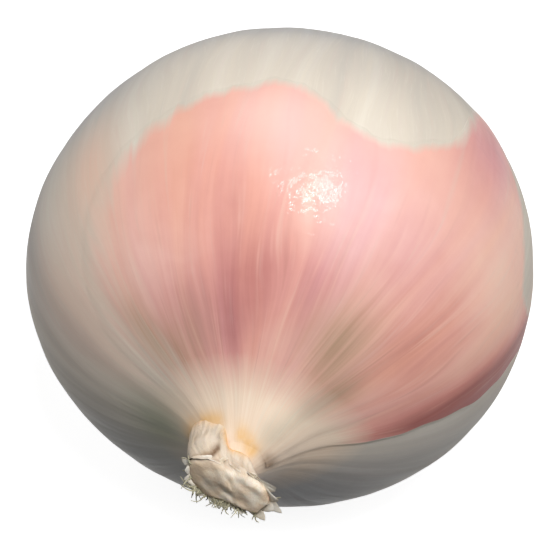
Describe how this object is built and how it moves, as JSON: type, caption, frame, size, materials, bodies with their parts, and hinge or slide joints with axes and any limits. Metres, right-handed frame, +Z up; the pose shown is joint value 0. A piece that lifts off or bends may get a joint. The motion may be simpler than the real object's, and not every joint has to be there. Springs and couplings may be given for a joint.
{
  "type": "onion",
  "caption": "Whole pink onion lying on its side: a squat ribbed bulb with torn thin pink skin, a short dry frayed neck and dried roots at the far end.",
  "frame": {"origin": "middle of the small flat spot that the onion rests on, straight under the bulb's axis", "axes": "+Z up, +Y along the bulb's axis towards the roots, the neck towards -Y"},
  "size_m": [0.0756, 0.0818, 0.0754],
  "materials": {
    "bulb": "satin, pale waxy flesh with fine veins",
    "pink_skin": "satin, thin pink papery skin with fine streaks",
    "neck": "dry, fibrous",
    "root_plate": "dry, corky"
  },
  "bodies": {
    "root": {"bulb": "bulb", "pink_skin": "pink_skin", "neck": "neck", "root_plate": "root_plate"}
  },
  "joints": []
}
